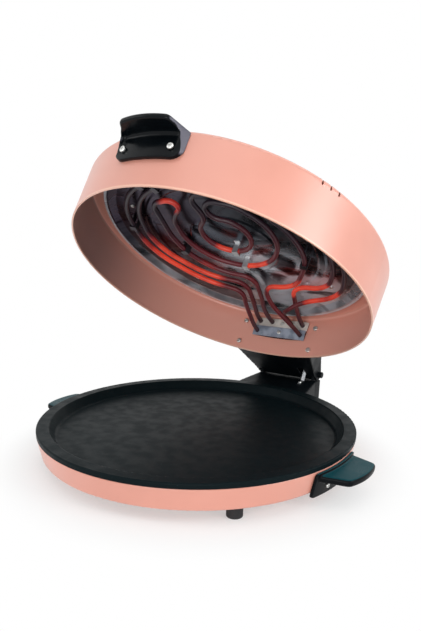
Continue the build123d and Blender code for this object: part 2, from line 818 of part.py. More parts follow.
# The leaf spring: bright steel, screwed to the bracket, rubbing beside the hinge barrel
leaf_gap = 0.3
leaf_y = hinge_y - barrel_radius - leaf_gap
leaf_top_z = hinge_z + 6.0
leaf_route = [
    (leaf_foot_y, shelf_height(leaf_foot_y)),
    (leaf_y - 7.0, shelf_height(leaf_y - 7.0)),
    (leaf_y - leaf_sheet - 0.5, hinge_z),
    (leaf_y - leaf_sheet + 1.5, leaf_top_z),
]
with BuildPart() as friction_leaf:
    with BuildSketch(Plane(origin=(leaf_low_x, 0, 0), x_dir=(0, 1, 0), z_dir=(1, 0, 0))):
        with BuildLine():
            FilletPolyline(*leaf_route, radius=[2.5, 4.0])
            offset(amount=leaf_sheet, side=Side.LEFT)
        make_face()
    extrude(amount=leaf_width)
    with BuildSketch(leaf_seat):
        Circle(leaf_screw_radius + screw_fit)
    extrude(amount=-leaf_screw_length, mode=Mode.SUBTRACT)
finish_piece(friction_leaf.part, "friction_leaf")
leaf_screw = pan_head_screw(leaf_seat, 2.4, leaf_screw_radius, leaf_screw_length)
finish_piece(leaf_screw, "leaf_screw")

# The lid shell: a shallow steel drum with a hem round its rim, built closed
lid_top_z = lid_rim_z + lid_height
lid_crown_radius = 150.0
lid_screw_x = 61.0
lid_screw_rises = [12.0, 49.0]
upper_row_rise = 52.0
lower_row_rise = 35.0
window_low_x, window_high_x = -42.0, 46.0
window_low_rise, window_high_rise = 29.0, 57.0
lid_handle_screw_x = 31.0
lid_handle_screw_rise = 42.5
vent_count = 3
vent_step = 3.2
vent_middle_angle = -33.4
vent_width = 2.3
vent_height = 18.0
vent_cut = 6.0
vent_rise = 69.5

lid_bracket_planes = []
for rise in lid_screw_rises:
    for x in (-lid_screw_x, lid_screw_x):
        height = lid_rim_z + rise
        lid_bracket_planes.append(straight_back_plane(x, height, lid_wall_radius(height) - lid_sheet))
lid_handle_z = lid_rim_z + lid_handle_screw_rise
lid_handle_planes = []
for x in (-lid_handle_screw_x, lid_handle_screw_x):
    angle = -90 + degrees(atan2(x, lid_rim_radius))
    lid_handle_planes.append(radial_plane(lid_wall_radius(lid_handle_z), angle, lid_handle_z))

with BuildPart() as lid_shell:
    lid_outline = [
        (lid_rim_radius, lid_rim_z),
        (lid_top_radius, lid_top_z),
        (lid_crown_radius, lid_top_z + lid_crown),
        (0, lid_top_z + lid_crown),
    ]
    add(sheet_profile(lid_outline, lid_sheet, [lid_edge_radius, 30.0]))
    revolve(axis=Axis.Z)
    with BuildSketch(Plane.XZ):
        with BuildLine():
            Polyline(
                (lid_rim_radius - lid_sheet / 2, lid_rim_z),
                (lid_rim_radius - lid_sheet / 2, lid_rim_z + lid_hem_height),
                (lid_rim_radius - lid_sheet - lid_hem, lid_rim_z + lid_hem_height),
                (lid_rim_radius - lid_sheet - lid_hem, lid_rim_z),
                close=True,
            )
        make_face()
    revolve(axis=Axis.Z)
    for plane in lid_bracket_planes + lid_handle_planes:
        with BuildSketch(plane):
            Circle(screw_hole)
        extrude(amount=4, both=True, mode=Mode.SUBTRACT)
    with BuildSketch(Plane.XZ.offset(-lid_rim_radius * cut_start)):
        with Locations(
            ((window_low_x + window_high_x) / 2, lid_rim_z + (window_low_rise + window_high_rise) / 2)
        ):
            RectangleRounded(window_high_x - window_low_x, window_high_rise - window_low_rise, 3)
    extrude(amount=-lid_rim_radius * (1 - cut_start) * 2, mode=Mode.SUBTRACT)
    for index in range(vent_count):
        angle = vent_middle_angle + vent_step * (index - (vent_count - 1) / 2)
        with BuildSketch(radial_plane(lid_rim_radius, angle, lid_rim_z + vent_rise)):
            SlotOverall(vent_height, vent_width)
        extrude(amount=vent_cut, both=True, mode=Mode.SUBTRACT)
finish_piece(lid_shell.part, "lid_shell", open_lid=True)

# The lid's reflector: a bright pressed dish hung under the lid's top on four bosses
dish_inset = 20.0
dish_slope = 15.0
dish_rim_width = 6.0
dish_rim_radius = lid_rim_radius - dish_inset
dish_floor_radius = dish_rim_radius - dish_slope
dish_rim_rise = 60.5
dish_floor_rise = 65.4
dish_press = 1.2
disc_radius = 60.0
press_slope = 3.0
bead_width = 13.0
bead_gap = 0.2
middle_ring = 136.0
bead_radius = middle_ring - tube_radius - strap_gap - strap_sheet - strap_foot - bead_gap
boss_ring = 144.0
boss_angles = [40, 140, 215, 335]
reflector_boss_radius = 4.0
dish_low_z = lid_rim_z + dish_floor_rise
press_z = dish_low_z - dish_press
with BuildPart() as lid_reflector:
    lid_dish_outline = [
        (0, press_z),
        (disc_radius, press_z),
        (disc_radius + press_slope, dish_low_z),
        (bead_radius - bead_width, dish_low_z),
        (bead_radius - bead_width + press_slope, press_z),
        (bead_radius - press_slope, press_z),
        (bead_radius, dish_low_z),
        (dish_floor_radius, dish_low_z),
        (dish_rim_radius - dish_rim_width, lid_rim_z + dish_rim_rise),
        (dish_rim_radius, lid_rim_z + dish_rim_rise),
    ]
    add(sheet_profile(lid_dish_outline, reflector_sheet, [1.2] * 6 + [4.0, 2.0]))
    revolve(axis=Axis.Z)
    with BuildSketch(Plane.XY.offset(dish_low_z)):
        for angle in boss_angles:
            with PolarLocations(boss_ring, 1, start_angle=angle):
                Circle(screw_hole)
    extrude(amount=4, both=True, mode=Mode.SUBTRACT)
finish_piece(lid_reflector.part, "lid_reflector", open_lid=True)

boss_low_z = dish_low_z + reflector_sheet
boss_high_z = lid_top_z + lid_crown - lid_sheet
with BuildPart() as reflector_bosses:
    with BuildSketch(Plane.XY.offset(boss_low_z)):
        for angle in boss_angles:
            with PolarLocations(boss_ring, 1, start_angle=angle):
                Circle(reflector_boss_radius)
                Circle(screw_shank + screw_fit, mode=Mode.SUBTRACT)
    extrude(amount=boss_high_z - boss_low_z)
finish_piece(reflector_bosses.part, "reflector_bosses", open_lid=True)

reflector_screw_reach = 4.5
reflector_screw_parts = []
for angle in boss_angles:
    spot = Vector(cos(radians(angle)), sin(radians(angle)), 0) * boss_ring
    seat = Plane(origin=spot + Vector(0, 0, dish_low_z), z_dir=(0, 0, -1))
    reflector_screw_parts.append(pan_head_screw(seat, small_head, screw_shank, reflector_screw_reach))
reflector_screws = grouped(reflector_screw_parts)
finish_piece(reflector_screws, "reflector_screws", open_lid=True)

# The upper elements: three bent tubes whose six ends pass through the terminal plates
end_reach = 11.0
end_y = lid_rim_radius + end_reach
outer_rise, middle_rise, inner_rise = 52.0, 57.0, 54.0
outer_ring = 152.0
outer_z = lid_rim_z + outer_rise
middle_z = lid_rim_z + middle_rise
inner_z = lid_rim_z + inner_rise
upper_row_z = lid_rim_z + upper_row_rise
lower_row_z = lid_rim_z + lower_row_rise
outer_left_x, outer_right_x = -36.0, 18.0
middle_left_x, middle_right_x = -36.0, 38.0
inner_left_x, inner_right_x = -15.0, 39.0
crossing_drop = 4.0
straight_length = 34.0
straight_y = end_y - straight_length

left_centre = (0.0, -44.0)
left_join_angle = 183.0
ring_join_angle = 207.0
outer_left_ring, middle_left_ring = 137.0, 127.0
outer_route = [(outer_left_x, end_y, lower_row_z), (outer_left_x, straight_y, lower_row_z)]
outer_route += [(-30, 124, outer_z - 8), (-23, 94, outer_z - 3)]
outer_left_arc = arc_points(left_centre, outer_left_ring, 106, left_join_angle, outer_z)
outer_ring_arc = arc_points((0, 0), outer_ring, ring_join_angle, 380, outer_z)
outer_route += outer_left_arc + outer_ring_arc
outer_route += [(130, 92, outer_z - 1), (64, 110, outer_z - crossing_drop)]
outer_route += [(outer_right_x + 1, 152, outer_z - crossing_drop), (outer_right_x, straight_y, upper_row_z)]
outer_route += [(outer_right_x, end_y, upper_row_z)]
element_outer = bent_tube("upper_element_outer", outer_route, tube_radius)
finish_piece(element_outer, "upper_element_outer", open_lid=True)

middle_route = [(middle_left_x, end_y, upper_row_z), (middle_left_x, straight_y, upper_row_z)]
middle_route += [(-21, 122, middle_z - 3), (-16, 84, middle_z)]
middle_route += arc_points(left_centre, middle_left_ring, 104, left_join_angle, middle_z)
middle_route += arc_points((0, 0), middle_ring, ring_join_angle, 385, middle_z)
middle_route += [(110, 85, middle_z), (57, 84, middle_z + 1), (middle_right_x + 3, 150, middle_z)]
middle_route += [(middle_right_x, straight_y, upper_row_z), (middle_right_x, end_y, upper_row_z)]
element_middle = bent_tube("upper_element_middle", middle_route, tube_radius)
finish_piece(element_middle, "upper_element_middle", open_lid=True)

wide_centre = (0.0, -15.0)
wide_right_ring = 105.0
narrow_centre = (0.0, -20.0)
narrow_ring = 77.0
narrow_clip_angle = 165.0
loop_centre = (10.0, -38.0)
loop_ring, core_ring = 68.0, 34.0
inner_turn_angle = 285.0
turn_ring = (loop_ring + core_ring) / 2
turn_radius = (loop_ring - core_ring) / 2
turn_centre = (
    loop_centre[0] + turn_ring * cos(radians(inner_turn_angle)),
    loop_centre[1] + turn_ring * sin(radians(inner_turn_angle)),
)
inner_route = [(inner_right_x, end_y, lower_row_z), (inner_right_x, straight_y, lower_row_z)]
inner_route += [(17, 114, inner_z - 11), (14, 84, inner_z), (66, 80, inner_z)]
inner_route += arc_points(wide_centre, wide_right_ring, 30, -85, inner_z)
inner_route += [(-8, -121, inner_z), (-2, -74, inner_z)]
inner_route += arc_points(loop_centre, core_ring, 225, inner_turn_angle - 360, inner_z)
inner_route += arc_points(turn_centre, turn_radius, inner_turn_angle - 180, inner_turn_angle, inner_z)
inner_route += arc_points(loop_centre, loop_ring, inner_turn_angle, 587, inner_z)
inner_route += arc_points((-41.4, -96.8), 10.3, 58, -115, inner_z)
inner_route += [(-67, -103, inner_z)]
inner_route += arc_points(narrow_centre, narrow_ring, 202, 98, inner_z)
inner_route += [(8, 60, inner_z), (-1, 112, inner_z - 1), (inner_left_x, 158, inner_z - 2)]
inner_route += [(inner_left_x, end_y, upper_row_z)]
element_inner = bent_tube("upper_element_inner", inner_route, tube_radius)
finish_piece(element_inner, "upper_element_inner", open_lid=True)

# Clips that hang the upper elements from the reflector
upper_clip_parts = []
outer_join = (outer_left_arc[-1] + outer_ring_arc[0]) / 2
outer_join_run = outer_ring_arc[0] - outer_left_arc[-1]
outer_join_angle = degrees(atan2(outer_join_run.Y, outer_join_run.X)) + 90
upper_clip_parts.append(strap_clip(outer_join.X, outer_join.Y, outer_z, dish_low_z, outer_join_angle))
for centre, ring, height, angles in (
    ((0, 0), outer_ring, outer_z, [247, 280, 315]),
    ((0, 0), middle_ring, middle_z, [250, 300, 350]),
    (wide_centre, wide_right_ring, inner_z, [20]),
    (narrow_centre, narrow_ring, inner_z, [narrow_clip_angle]),
):
    for angle in angles:
        x = centre[0] + ring * cos(radians(angle))
        y = centre[1] + ring * sin(radians(angle))
        upper_clip_parts.append(strap_clip(x, y, height, dish_low_z, angle))
for ring in (loop_ring, core_ring):
    upper_clip_parts.append(strap_clip(loop_centre[0], loop_centre[1] + ring, inner_z, press_z, 90))
upper_element_clips = grouped(upper_clip_parts)
finish_piece(upper_element_clips, "upper_element_clips", open_lid=True)

# The two terminal plates that carry the element ends inside the lid's back wall
terminal_sheet = 1.2
terminal_inset = 9.0
terminal_y = lid_rim_radius - terminal_inset
terminal_screw_x = 3.0
upper_plate_low, upper_plate_high = 43.5, 58.5
lower_plate_low, lower_plate_high = 27.5, 43.0
lower_plate_lean = 3.0
row_planes = []
for x, z in (
    (outer_left_x, lower_row_z),
    (outer_right_x, upper_row_z),
    (middle_left_x, upper_row_z),
    (middle_right_x, upper_row_z),
    (inner_left_x, upper_row_z),
    (inner_right_x, lower_row_z),
):
    row_planes.append(Plane(origin=(x, terminal_y, z), x_dir=(1, 0, 0), z_dir=(0, 1, 0)))


def terminal_plate(low_rise, high_rise, low_y, high_y):
    """A flat strip across the back of the lid, from its lower edge to its upper one."""
    with BuildPart() as strip:
        with BuildSketch(Plane.YZ):
            with BuildLine():
                Polyline(
                    (low_y, lid_rim_z + low_rise),
                    (low_y + terminal_sheet, lid_rim_z + low_rise),
                    (high_y + terminal_sheet, lid_rim_z + high_rise),
                    (high_y, lid_rim_z + high_rise),
                    close=True,
                )
            make_face()
        extrude(amount=(window_high_x - window_low_x) / 2 + 1, both=True)
    return strip.part.translate((window_low_x / 2 + window_high_x / 2, 0, 0))


terminal_screw_rises = [(upper_plate_low + upper_plate_high) / 2, (lower_plate_low + lower_plate_high) / 2]
lower_screw_y = terminal_y - lower_plate_lean / 2
lower_lean = degrees(atan2(lower_plate_lean, lower_plate_high - lower_plate_low))
terminal_seats = [
    Plane(
        origin=(terminal_screw_x, terminal_y, lid_rim_z + terminal_screw_rises[0]),
        x_dir=(1, 0, 0),
        z_dir=(0, -1, 0),
    ),
    Plane(
        origin=(terminal_screw_x, lower_screw_y, lid_rim_z + terminal_screw_rises[1]),
        x_dir=(1, 0, 0),
        z_dir=(0, -cos(radians(lower_lean)), -sin(radians(lower_lean))),
    ),
]
upper_plate = terminal_plate(upper_plate_low, upper_plate_high, terminal_y, terminal_y)
upper_plate = drilled(upper_plate, row_planes[1:5], tube_radius + tube_hole_gap, 8)
upper_plate = drilled(upper_plate, terminal_seats[0:1], screw_hole, 8)
finish_piece(upper_plate, "terminal_plate_upper", open_lid=True)
lower_plate = terminal_plate(lower_plate_low, lower_plate_high, terminal_y, terminal_y - lower_plate_lean)
lower_plate = drilled(lower_plate, [row_planes[0], row_planes[5]], tube_radius + tube_hole_gap, 8)
lower_plate = drilled(lower_plate, terminal_seats[1:2], screw_hole, 8)
finish_piece(lower_plate, "terminal_plate_lower", open_lid=True)

terminal_screw_parts = []
for seat in terminal_seats:
    terminal_screw_parts.append(pan_head_screw(seat, small_head, screw_shank, 16.0))
terminal_plate_screws = grouped(terminal_screw_parts)
finish_piece(terminal_plate_screws, "terminal_plate_screws", open_lid=True)

# The lid's hinge bracket: a hollow black moulding from the lid's back wall to the barrel
lid_bracket_front_half = 68.0
lid_bracket_front_y = lid_rim_radius - 18.0
lid_bracket_low_rise = 4.2
lid_bracket_high_rise = 62.0
lid_taper_y = hinge_y - 12.0
lid_bracket_end_y = hinge_y + 12.0
web_reach = 6.0
web_y = lid_rim_radius + web_reach
web_wall = 3.0
lid_boss_reach = 14.0
hollow_back_y = hinge_y - 14.0
lid_knee_reach = 33.0
lid_knee_y = lid_rim_radius + lid_knee_reach
barrel_top_angle = 40.0
barrel_shoulder = (
    hinge_y + barrel_radius * cos(radians(barrel_top_angle)),
    hinge_z + barrel_radius * sin(radians(barrel_top_angle)),
)


def low_line(y):
    """The height of the closed bracket's underside at a place behind the lid."""
    share = (y - lid_bracket_front_y) / (hinge_y - lid_bracket_front_y)
    front = lid_rim_z + lid_bracket_low_rise
    return front + (hinge_z - barrel_radius - front) * share


def high_line(y):
    """The height of the closed bracket's top at a place behind the lid."""
    share = max(0, y - lid_knee_y) / (barrel_shoulder[0] - lid_knee_y)
    front = lid_rim_z + lid_bracket_high_rise
    return front + (barrel_shoulder[1] - front) * share


lid_side = [
    (lid_bracket_front_y, low_line(lid_bracket_front_y)),
    (hinge_y, low_line(hinge_y)),
    barrel_shoulder,
    (lid_knee_y, high_line(lid_knee_y)),
    (lid_bracket_front_y, high_line(lid_bracket_front_y)),
]
lid_side_inner = [
    (lid_bracket_front_y, low_line(lid_bracket_front_y) + bracket_wall),
    (hollow_back_y, low_line(hollow_back_y) + bracket_wall),
    (hollow_back_y, high_line(hollow_back_y) - bracket_wall),
    (lid_knee_y, high_line(lid_knee_y) - bracket_wall),
    (lid_bracket_front_y, high_line(lid_bracket_front_y) - bracket_wall),
]
lid_wall_cut = cone_solid(lid_wall_radius(0) + seat_gap, lid_wall_radius(200) + seat_gap, 0, 200)
slot_low_x = lug_inner - lug_gap
slot_high_x = lug_outer + lug_gap
slot_front_y = hinge_y - lug_radius - lug_gap
slot_length = 40.0
slot_height = 60.0
leaf_slot_gap = 2.5
lid_inner_block = trapezoid_block(
    lid_bracket_front_half - bracket_wall,
    hinge_half_width - bracket_wall,
    lid_bracket_front_y,
    lid_taper_y,
    lid_bracket_end_y,
    lid_side_inner,
)
with BuildPart() as bracket_web:
    with BuildSketch(Plane.XZ.offset(-web_y)):
        Rectangle(400, 400)
    extrude(amount=-web_wall)
    for seat in terminal_seats:
        boss_origin = (seat.origin.X, web_y + 1, seat.origin.Z)
        with BuildSketch(Plane(origin=boss_origin, x_dir=(1, 0, 0), z_dir=(0, -1, 0))):
            Circle(4.0)
        extrude(amount=web_y - terminal_y - terminal_sheet)
with BuildPart() as web_in_bracket:
    add(bracket_web.part)
    add(lid_inner_block, mode=Mode.INTERSECT)
with BuildPart() as lid_hinge_bracket:
    add(
        trapezoid_block(
            lid_bracket_front_half,
            hinge_half_width,
            lid_bracket_front_y,
            lid_taper_y,
            lid_bracket_end_y,
            lid_side,
        )
    )
    add(lid_inner_block, mode=Mode.SUBTRACT)
    for plane in lid_bracket_planes:
        with BuildSketch(plane):
            Circle(boss_radius)
        extrude(amount=-lid_boss_reach)
    add(lid_wall_cut, mode=Mode.SUBTRACT)
    add(web_in_bracket.part)
    add(across_cylinder(barrel_radius, -hinge_half_width, hinge_half_width))
    for side in (-1, 1):
        with BuildSketch(Plane(origin=(side * slot_low_x, 0, 0), x_dir=(0, 1, 0), z_dir=(1, 0, 0))):
            with Locations((slot_front_y, hinge_z)):
                Rectangle(slot_length, slot_height, align=(Align.MIN, Align.CENTER))
        extrude(amount=side * (slot_high_x - slot_low_x), mode=Mode.SUBTRACT)
    leaf_slot_half = leaf_width / 2 + leaf_slot_gap
    with BuildSketch(Plane(origin=(leaf_low_x + leaf_width / 2, 0, 0), x_dir=(0, 1, 0), z_dir=(1, 0, 0))):
        with BuildLine():
            Polyline(
                (hinge_y, hinge_z),
                (hinge_y - 15.5, hinge_z + 11.5),
                (leaf_foot_y - 3, hinge_z + 6.0),
                (leaf_foot_y - 3, hinge_z - 25.0),
                (hinge_y, hinge_z - 25.0),
                close=True,
            )
        make_face()
        with Locations((hinge_y, hinge_z)):
            Circle(barrel_radius, mode=Mode.SUBTRACT)
    extrude(amount=leaf_slot_half, both=True, mode=Mode.SUBTRACT)
    pin_bore = across_cylinder(pin_radius + pin_running_gap, -hinge_half_width - 1, hinge_half_width + 1)
    add(pin_bore, mode=Mode.SUBTRACT)
    for plane in lid_bracket_planes:
        with BuildSketch(plane):
            Circle(screw_shank + screw_fit)
        extrude(amount=-lid_boss_reach + 2, mode=Mode.SUBTRACT)
    for plane in row_planes:
        with BuildSketch(plane.offset(8)):
            Circle(tube_radius + 2.0)
        extrude(amount=web_y - terminal_y, mode=Mode.SUBTRACT)
    for seat in terminal_seats:
        with BuildSketch(seat):
            Circle(screw_shank + screw_fit)
        extrude(amount=-18, mode=Mode.SUBTRACT)
finish_piece(lid_hinge_bracket.part, "lid_hinge_bracket", open_lid=True)

lid_bracket_screws = []
for plane in lid_bracket_planes:
    seat = plane.offset(lid_seat_lift)
    lid_bracket_screws.append(pan_head_screw(seat, screw_head, screw_shank, lid_boss_reach - 2))
lid_hinge_screws = grouped(lid_bracket_screws)
finish_piece(lid_hinge_screws, "lid_hinge_screws", open_lid=True)

# Each tube's ceramic bead and pin, and the wires that join them in the bracket's hollow
bead_length = 4.0
pin_length = 9.0
with BuildPart() as element_terminals:
    for plane in row_planes:
        with BuildSketch(plane.offset(end_y - terminal_y)):
            Circle(tube_radius + 0.7)
        extrude(amount=bead_length)
        with BuildSketch(plane.offset(end_y - terminal_y)):
            Circle(1.6)
        extrude(amount=bead_length + pin_length)
finish_piece(element_terminals.part, "element_terminals", open_lid=True)

wire_y = end_y + bead_length + pin_length + wire_radius
wire_routes = [
    [
        (outer_left_x, wire_y, lower_row_z - 2),
        (outer_left_x, wire_y, upper_row_z),
        (inner_left_x, wire_y, upper_row_z),
        (-6, wire_y + 10, upper_row_z - 14),
        (-6, hollow_back_y - 4, upper_row_z - 30),
    ],
    [
        (inner_right_x, wire_y, lower_row_z - 2),
        (inner_right_x - 0.5, wire_y, upper_row_z),
        (outer_right_x, wire_y, upper_row_z),
        (8, wire_y + 10, upper_row_z - 14),
        (8, hollow_back_y - 4, upper_row_z - 30),
    ],
]
lid_wire_parts = []
for route in wire_routes:
    lid_wire_parts.append(bent_tube("lid_wire", route, wire_radius))
lid_wires = grouped(lid_wire_parts)
finish_piece(lid_wires, "lid_wires", open_lid=True)

# The lid's handle at the front: a plate on the wall, a hood to lift by and a cheek at each
# end that braces it. Its two screws have nuts inside the lid.
lid_plate_wall = 6.0
lid_handle_half = 45.5
lid_handle_low = lid_rim_z + 31.0
lid_handle_high = lid_rim_z + 65.0
lid_hood_wall = 5.6
lid_hood_low = lid_handle_high - lid_hood_wall
lid_hood_bend = 2.2
lid_reach = 28.5
lid_handle_corner = 15.0
cheek_low = lid_handle_low + 7.0
cheek_mid = (10.0, lid_handle_low + 20.0)
cheek_reach = 17.0
cheek_wall = 5.5
pocket_corner = 6.0
crease_radius = 4.0
plate_face = lid_rim_radius + lid_plate_wall
hood_face = lid_rim_radius + lid_reach

with BuildPart() as handle_pocket:
    with BuildSketch(Plane.XZ.offset(lid_rim_radius * cut_start)):
        with Locations((0, lid_hood_low)):
            Rectangle(
                2 * (lid_handle_half - cheek_wall),
                2 * (lid_hood_low - lid_handle_low + pocket_corner),
                align=(Align.CENTER, Align.CENTER),
            )
    extrude(amount=lid_rim_radius * cut_span)
    with BuildSketch(Plane.XZ, mode=Mode.PRIVATE) as pocket_section:
        with BuildLine():
            Polyline(
                (plate_face, 0),
                (plate_face, lid_hood_low),
                (2 * plate_face, lid_hood_low),
                (2 * plate_face, 0),
                close=True,
            )
        make_face()
        fillet(pocket_section.vertices().sort_by(Axis.X)[0:2].sort_by(Axis.Y)[-1], crease_radius)
    revolve(pocket_section.sketch, axis=Axis.Z, mode=Mode.INTERSECT)
    pocket_edges = handle_pocket.edges().filter_by(Axis.Z)
    fillet(pocket_edges, pocket_corner)

hood_root_half, hood_tip_half = 48.0, 32.0
hood_bow = 4.0
hood_corner = 8.0
lid_hood_plan = grip_outline(
    hood_root_half,
    hood_tip_half,
    -lid_rim_radius * handle_inside,
    -hood_face + hood_bow,
    hood_bow,
    hood_corner,
)
with BuildPart() as lid_handle:
    with BuildSketch(Plane.XZ):
        with BuildLine():
            Polyline(
                (plate_face, cheek_low),
                (plate_face, lid_handle_low),
                (lid_rim_radius * handle_inside, lid_handle_low),
                (lid_rim_radius * handle_inside, lid_handle_high),
                (hood_face, lid_handle_high),
                (hood_face, lid_hood_low),
                (lid_rim_radius + cheek_reach, lid_hood_low),
            )
            ThreePointArc(
                (lid_rim_radius + cheek_reach, lid_hood_low),
                (lid_rim_radius + cheek_mid[0], cheek_mid[1]),
                (plate_face, cheek_low),
            )
        make_face()
    revolve(axis=Axis.Z)
    with BuildSketch(Plane.XZ.offset(lid_rim_radius * handle_start)):
        with BuildLine():
            FilletPolyline(
                (-lid_handle_half, lid_handle_high),
                (-lid_handle_half, lid_handle_low),
                (lid_handle_half, lid_handle_low),
                (lid_handle_half, lid_handle_high),
                radius=lid_handle_corner,
            )
            Line((lid_handle_half, lid_handle_high), (-lid_handle_half, lid_handle_high))
        make_face()
    extrude(amount=lid_rim_radius * cut_span, mode=Mode.INTERSECT)
    with BuildSketch(Plane.XY.offset(lid_handle_low)):
        add(lid_hood_plan)
    extrude(amount=lid_handle_high - lid_handle_low, mode=Mode.INTERSECT)
    tip_y = -lid_rim_radius - lid_reach * 0.7
    for height in (lid_hood_low, lid_handle_high):
        tip_edges = lid_handle.edges().filter_by(lambda edge: edge.center().Y < tip_y)
        fillet(tip_edges.filter_by(lambda edge: abs(edge.center().Z - height) < 0.01), lid_hood_bend)
    add(handle_pocket.part, mode=Mode.SUBTRACT)
    add(lid_wall_cut, mode=Mode.SUBTRACT)
lid_handle_drilled = drilled(lid_handle.part, lid_handle_planes, screw_shank + screw_fit, 12)
finish_piece(lid_handle_drilled, "lid_handle", open_lid=True)

lid_handle_screw_parts = []
lid_nut_height = 3.0
lid_nut_radius = 4.0
with BuildPart() as lid_handle_nuts:
    for plane in lid_handle_planes:
        with BuildSketch(plane.offset(-lid_sheet - lid_handle_seat_lift)):
            RegularPolygon(lid_nut_radius, 6)
            Circle(screw_shank + screw_fit, mode=Mode.SUBTRACT)
        extrude(amount=-lid_nut_height)
        seat = plane.offset(lid_plate_wall + lid_handle_seat_lift)
        shank = lid_plate_wall + lid_sheet + lid_nut_height + 1.5
        lid_handle_screw_parts.append(pan_head_screw(seat, screw_head, screw_shank, shank))
finish_piece(lid_handle_nuts.part, "lid_handle_nuts", open_lid=True)
lid_handle_screws = grouped(lid_handle_screw_parts)
finish_piece(lid_handle_screws, "lid_handle_screws", open_lid=True)
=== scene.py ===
import json
from math import cos, radians, sin

import bmesh
import bpy
from mathutils import Matrix, Vector


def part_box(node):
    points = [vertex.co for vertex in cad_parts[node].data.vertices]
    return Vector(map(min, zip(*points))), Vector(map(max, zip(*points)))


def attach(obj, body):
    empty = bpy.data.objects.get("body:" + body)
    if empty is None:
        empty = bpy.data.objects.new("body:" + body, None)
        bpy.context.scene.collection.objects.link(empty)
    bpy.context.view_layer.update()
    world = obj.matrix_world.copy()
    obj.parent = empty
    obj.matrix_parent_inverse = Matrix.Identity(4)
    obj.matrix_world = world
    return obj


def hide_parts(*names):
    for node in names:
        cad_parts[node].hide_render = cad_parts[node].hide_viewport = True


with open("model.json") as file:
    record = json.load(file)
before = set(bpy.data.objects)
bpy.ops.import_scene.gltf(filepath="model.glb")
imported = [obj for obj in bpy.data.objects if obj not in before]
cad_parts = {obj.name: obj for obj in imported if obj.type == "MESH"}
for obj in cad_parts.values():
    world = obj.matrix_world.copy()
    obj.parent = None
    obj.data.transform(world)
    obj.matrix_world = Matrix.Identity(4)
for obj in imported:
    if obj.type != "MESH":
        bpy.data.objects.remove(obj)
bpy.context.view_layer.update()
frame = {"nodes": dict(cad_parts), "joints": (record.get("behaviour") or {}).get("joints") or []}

# %% [markdown]
# # An electric flatbread maker
# This is a round electric griddle for flatbread. A low steel tub holds a dark coated pan, and a
# deep steel lid holds the tube heaters. The lid hangs on a hinge at the back and stands open.
# The measured model is loaded above, and it fixes every size and place. What is left is how things
# look: the moulded plastic gets soft edges, and every surface gets its own finish.
#
# Two frames are used again and again. Base pieces are drawn about the pan's axis. Lid pieces are
# drawn as if the lid were shut, about the same axis, and are then turned up about the hinge pin.
# That way a place in the lid can be given by its radius and its height above the rim.

# %% Where the pieces go
NODES = frame["nodes"]
hinge = frame["joints"][0]
hinge_place = Vector(hinge["pos_m"])
open_angle = -radians(hinge["range_deg"][0])    # the lid is shut at the low end of its range
low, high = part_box("baking_pan")
pan_axis_y = (low.y + high.y) / 2
lid_gap = 0.003                                 # between the pan's lip and the shut lid's rim
lid_rim_height = high.z + lid_gap
about_pin = Matrix.Translation(hinge_place)
ON_BASE = Matrix.Translation((0, pan_axis_y, 0))
ON_LID = about_pin @ Matrix.Rotation(-open_angle, 4, "X") @ about_pin.inverted() @ ON_BASE


def in_lid(x, y, rise):
    """A place in the open lid, from its place on the shut lid in millimetres."""
    return ON_LID @ Vector((x / 1000, y / 1000, lid_rim_height + rise / 1000))


print("the pan's axis is at y", round(pan_axis_y, 4))
print("the hinge pin is at", tuple(round(part, 4) for part in hinge_place))
print("the shut lid's rim is", round(lid_rim_height, 4), "m above the table")

# %% [markdown]
# The camera comes first, so that everything else can be judged through it. A camera's place could be
# found by turning it until the view looks right. It is better to solve for it from the round rims,
# whose sizes are known, and the numbers below are such a solution. The camera looks from the front and
# right, a little from above. The shift slides the frame across the lens's picture, so the object can
# sit low in the frame without tilting the view.

# %% The camera
eye = Vector((0.4388, -0.6724, 0.3124))
turn, tilt, roll = radians(35.2), radians(20.31), radians(0.26)
back = Vector((sin(turn) * cos(tilt), -cos(turn) * cos(tilt), sin(tilt)))
side = Vector((cos(turn), sin(turn), 0))
over = back.cross(side)
camera_x = side * cos(roll) + over * sin(roll)
camera_y = over * cos(roll) - side * sin(roll)
lens = bpy.data.cameras.new("camera")
camera = bpy.data.objects.new("camera", lens)
bpy.context.scene.collection.objects.link(camera)
camera.matrix_world = Matrix.Translation(eye) @ Matrix((camera_x, camera_y, back)).transposed().to_4x4()
lens.sensor_width = 36
lens.lens = 34.45
lens.shift_x = 0.0314
lens.shift_y = 0.1888
bpy.context.scene.camera = camera
print("the camera is", round((eye - Vector((0, pan_axis_y, 0.1))).length, 3), "m from the pan")

# %% [markdown]
# A finish is a small network of nodes. Wired by hand it takes many lines, and they hide the sum that
# the nodes do. So the class Line stands for one output of a node, and writes a Math node when two of
# them are added or multiplied. A sum such as 1 - mask starts with a plain number, which is why each
# operator has its reflected form too.

# %% Sums on the outputs of nodes
class Line:
    """One output of a node in a finish. Sums on it add Math nodes."""

    def __init__(self, finish, socket):
        self.finish, self.socket = finish, socket

    def sum(self, operation, first, second):
        return self.finish.node("Math", {"operation": operation}, {0: first, 1: second})

    def __add__(self, other):
        return self.sum("ADD", self, other)

    def __radd__(self, other):
        return self.sum("ADD", other, self)

    def __sub__(self, other):
        return self.sum("SUBTRACT", self, other)

    def __rsub__(self, other):
        return self.sum("SUBTRACT", other, self)

    def __mul__(self, other):
        return self.sum("MULTIPLY", self, other)

    def __rmul__(self, other):
        return self.sum("MULTIPLY", other, self)

    def larger(self, other):
        return self.sum("MAXIMUM", self, other)


